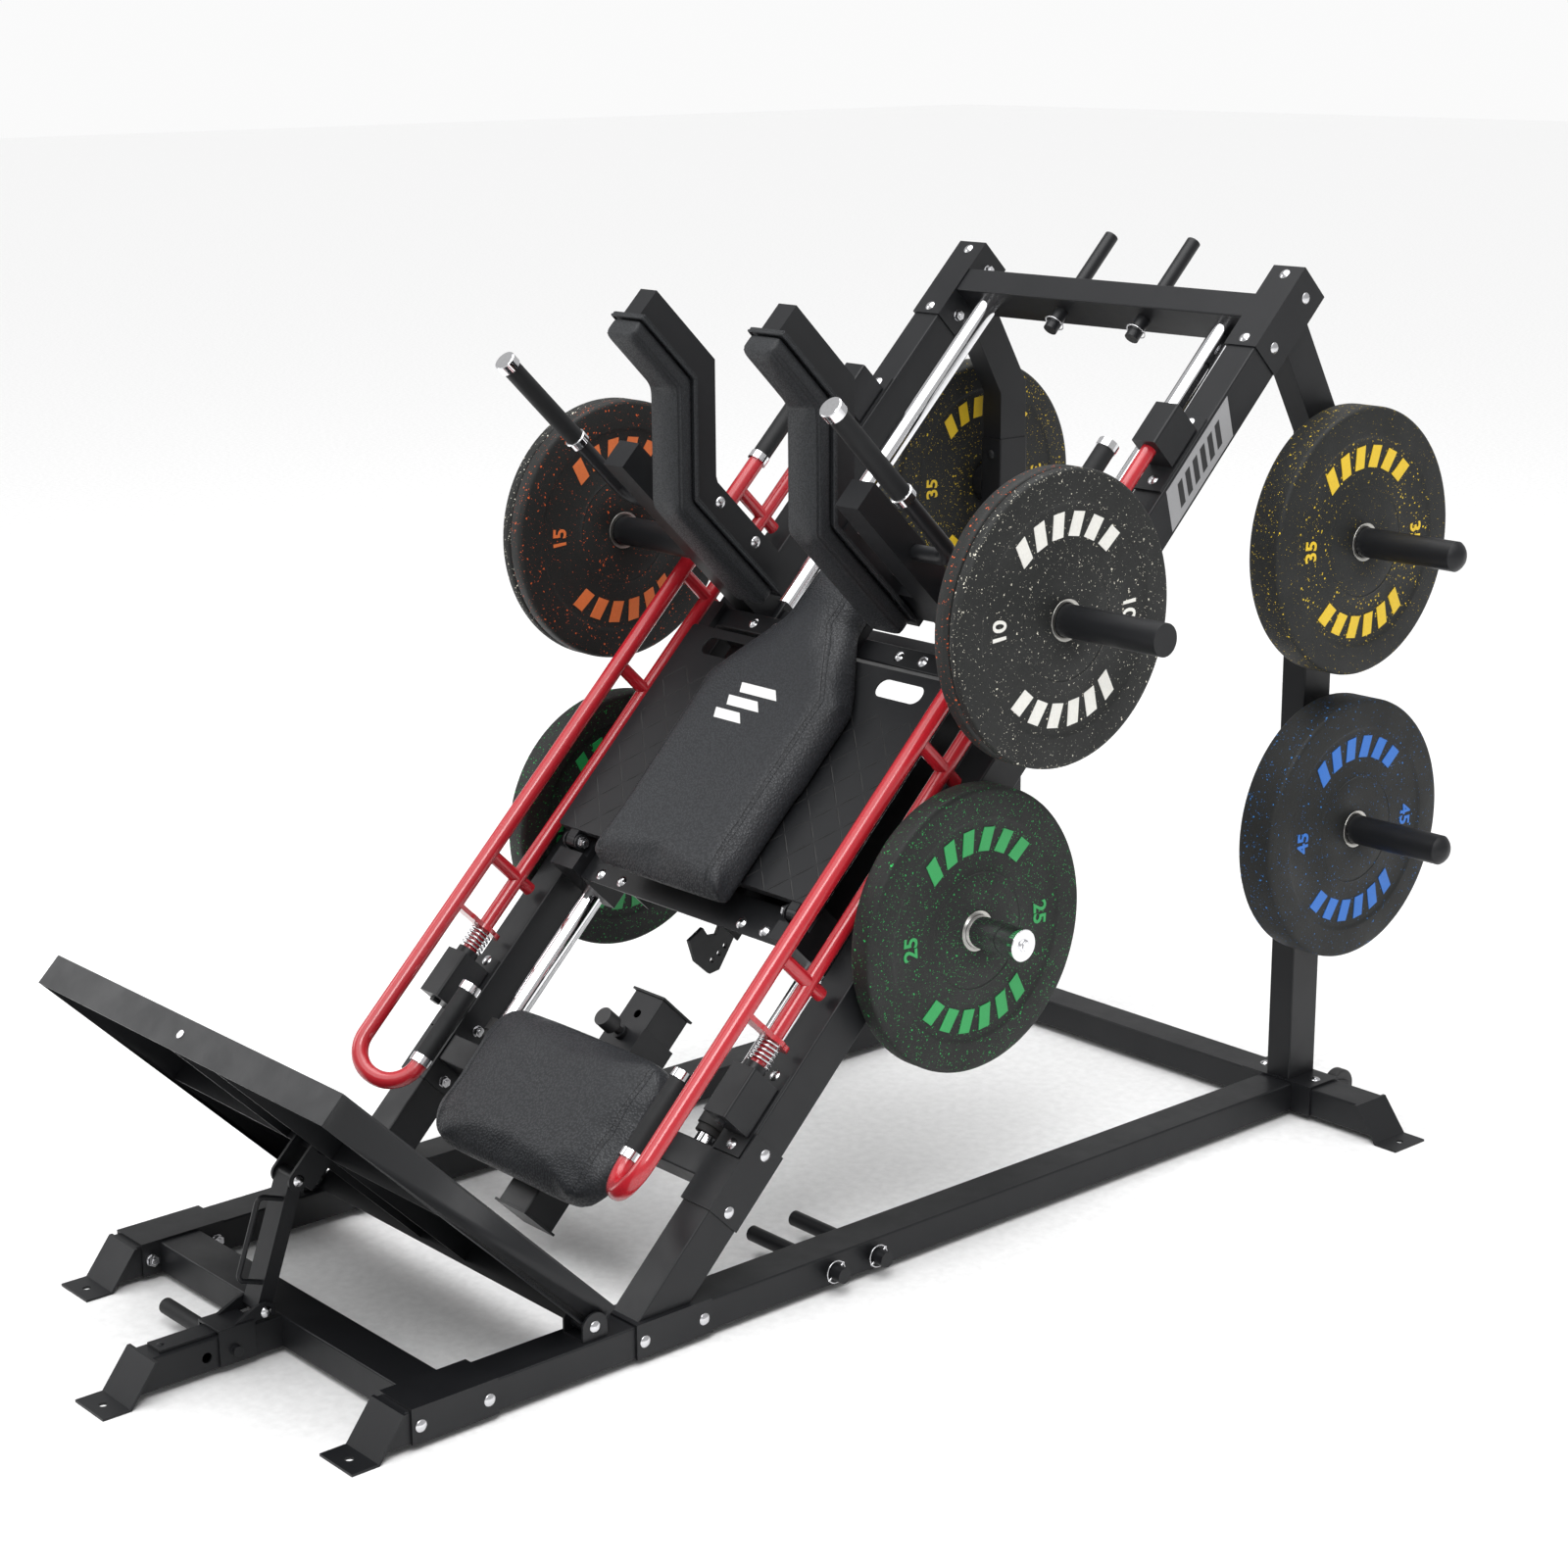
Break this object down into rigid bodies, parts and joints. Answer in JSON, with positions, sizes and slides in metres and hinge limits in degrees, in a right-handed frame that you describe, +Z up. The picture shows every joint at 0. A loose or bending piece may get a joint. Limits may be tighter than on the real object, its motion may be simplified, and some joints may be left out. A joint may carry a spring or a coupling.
{
  "type": "leg press machine",
  "caption": "Plate-loaded 45-degree leg press and hack squat machine with a sliding padded carriage, tread platform, hinged foot plate, red safety bars and rear plate storage.",
  "frame": {"origin": "on the floor, at the middle of the footprint", "axes": "+X to the side the lower right storage horn is loaded on, +Y from the foot plate to the uprights, +Z up"},
  "size_m": [1.49, 2.394, 1.5121],
  "materials": {
    "black_frame": "satin fine-textured powder coat",
    "red_paint": "gloss red paint",
    "zinc": "bright zinc plate",
    "chrome_rod": "polished chrome",
    "chrome_horn": "polished chrome",
    "spring_wire": "bright spring wire",
    "bumper_rubber": "matt black rubber",
    "wheel_plastic": "matt black plastic",
    "black_plastic": "matt black plastic",
    "pad_leather": "pebble-grained black upholstery, double stitched",
    "bumper_10": "crumb rubber with white flecks",
    "bumper_15": "crumb rubber with orange flecks",
    "bumper_25": "crumb rubber with green flecks",
    "bumper_35": "crumb rubber with yellow flecks",
    "bumper_45": "crumb rubber with blue flecks"
  },
  "bodies": {
    "frame": {"base_rail_left": "black_frame", "base_rail_right": "black_frame", "front_crossbeam": "black_frame", "tongue_beam": "black_frame", "rear_crossbeam": "black_frame", "lower_rail_left": "black_frame", "lower_rail_right": "black_frame", "main_rail_left": "black_frame", "main_rail_right": "black_frame", "top_crossbeam": "black_frame", "lower_crossbeam": "black_frame", "guide_rods": "chrome_rod", "rod_bumpers": "bumper_rubber", "upper_upright_left": "black_frame", "upper_upright_right": "black_frame", "lower_upright_left": "black_frame", "lower_upright_right": "black_frame", "bar_brackets_lower": "black_frame", "bar_brackets_upper": "black_frame", "frame_bolts": "zinc", "frame_nuts": "zinc", "band_pegs": "black_frame", "peg_rings": "spring_wire", "bar_springs": "spring_wire"},
    "wheel_left": {"wheel_left": "wheel_plastic"},
    "wheel_right": {"wheel_right": "wheel_plastic"},
    "foot_plate": {"foot_plate": "black_frame"},
    "strut": {"strut": "black_frame", "strut_bolts": "zinc"},
    "slider": {"slider": "black_frame"},
    "slider_pin": {"slider_pin": "black_plastic"},
    "seat": {"seat_post": "black_frame", "seat_pad": "pad_leather"},
    "seat_pin": {"seat_pin": "black_plastic"},
    "carriage": {"carriage_side_left": "black_frame", "carriage_side_right": "black_frame", "carriage_crossbars": "black_frame", "upper_horns": "black_frame", "lower_horns": "chrome_horn", "platform": "black_frame", "back_pad": "pad_leather", "shoulder_arm_left": "black_frame", "shoulder_arm_right": "black_frame", "shoulder_pad_left": "pad_leather", "shoulder_pad_right": "pad_leather", "handle_left": "black_frame", "handle_right": "black_frame", "hook_arm": "black_frame", "carriage_bolts": "zinc"},
    "bar_left": {"safety_bar_left": "red_paint"},
    "bar_right": {"safety_bar_right": "red_paint"},
    "plate_10_left": {"plate_10_left": "bumper_10"},
    "plate_10_right": {"plate_10_right": "bumper_10"},
    "plate_15_left": {"plate_15_left": "bumper_15"},
    "plate_15_right": {"plate_15_right": "bumper_15"},
    "plate_25_left": {"plate_25_left": "bumper_25"},
    "plate_25_right": {"plate_25_right": "bumper_25"},
    "plate_35_left": {"plate_35_left": "bumper_35"},
    "plate_35_right": {"plate_35_right": "bumper_35"},
    "plate_45_right": {"plate_45_right": "bumper_45"}
  },
  "joints": [
    {"name": "carriage_slide", "type": "slide", "parent": "frame", "child": "carriage", "axis": [0, 0.7071, 0.7071], "range_m": [-0.075, 0.585]},
    {"name": "bar_left_turn", "type": "hinge", "parent": "frame", "child": "bar_left", "pos_m": [-0.366, 0.07917, 0.74105], "axis": [0, 0.7071, 0.7071], "range_deg": [-14, 26]},
    {"name": "bar_right_turn", "type": "hinge", "parent": "frame", "child": "bar_right", "pos_m": [0.366, 0.07917, 0.74105], "axis": [0, 0.7071, 0.7071], "range_deg": [-26, 14]},
    {"name": "foot_plate_tilt", "type": "hinge", "parent": "frame", "child": "foot_plate", "pos_m": [0, -0.604, 0.08], "axis": [1, 0, 0], "range_deg": [0, 3.58]},
    {"name": "slider_slide", "type": "slide", "parent": "frame", "child": "slider", "axis": [0, 1, 0], "range_m": [-0.0452, 0.0002]},
    {"name": "strut_turn", "type": "hinge", "parent": "slider", "child": "strut", "pos_m": [0, -0.922, 0.075], "axis": [1, 0, 0], "range_deg": [-11.11, 0.05]},
    {"name": "slider_pin_pull", "type": "slide", "parent": "slider", "child": "slider_pin", "axis": [-1, 0, 0], "range_m": [0, 0.075]},
    {"name": "seat_slide", "type": "slide", "parent": "frame", "child": "seat", "axis": [0, 0.7071, 0.7071], "range_m": [-0.05, 0]},
    {"name": "seat_pin_pull", "type": "slide", "parent": "frame", "child": "seat_pin", "axis": [0, -0.7071, 0.7071], "range_m": [0, 0.012], "stiffness_N_per_m": 900, "springref_m": -0.004},
    {"name": "wheel_left_spin", "type": "hinge", "parent": "frame", "child": "wheel_left", "pos_m": [-0.417, 1.043, 0.036], "axis": [1, 0, 0], "continuous": true},
    {"name": "wheel_right_spin", "type": "hinge", "parent": "frame", "child": "wheel_right", "pos_m": [0.417, 1.043, 0.036], "axis": [1, 0, 0], "continuous": true},
    {"name": "plate_15_left_slide", "type": "slide", "parent": "carriage", "child": "plate_15_left", "axis": [-1, 0, 0], "range_m": [0, 0.26]},
    {"name": "plate_10_left_slide", "type": "slide", "parent": "plate_15_left", "child": "plate_10_left", "axis": [-1, 0, 0], "range_m": [0, 0.23]},
    {"name": "plate_25_left_slide", "type": "slide", "parent": "carriage", "child": "plate_25_left", "axis": [-1, 0, 0], "range_m": [0, 0.155]},
    {"name": "plate_35_left_slide", "type": "slide", "parent": "frame", "child": "plate_35_left", "axis": [-1, 0, 0], "range_m": [0, 0.275]},
    {"name": "plate_15_right_slide", "type": "slide", "parent": "carriage", "child": "plate_15_right", "axis": [1, 0, 0], "range_m": [0, 0.26]},
    {"name": "plate_10_right_slide", "type": "slide", "parent": "plate_15_right", "child": "plate_10_right", "axis": [1, 0, 0], "range_m": [0, 0.23]},
    {"name": "plate_25_right_slide", "type": "slide", "parent": "carriage", "child": "plate_25_right", "axis": [1, 0, 0], "range_m": [0, 0.155]},
    {"name": "plate_35_right_slide", "type": "slide", "parent": "frame", "child": "plate_35_right", "axis": [1, 0, 0], "range_m": [0, 0.275]},
    {"name": "plate_45_right_slide", "type": "slide", "parent": "frame", "child": "plate_45_right", "axis": [1, 0, 0], "range_m": [0, 0.275]}
  ],
  "couplings": [
    {"joint": "slider_slide", "follows": "foot_plate_tilt", "m_per_rad": -0.72008},
    {"joint": "strut_turn", "follows": "foot_plate_tilt", "ratio": -3.0876}
  ]
}
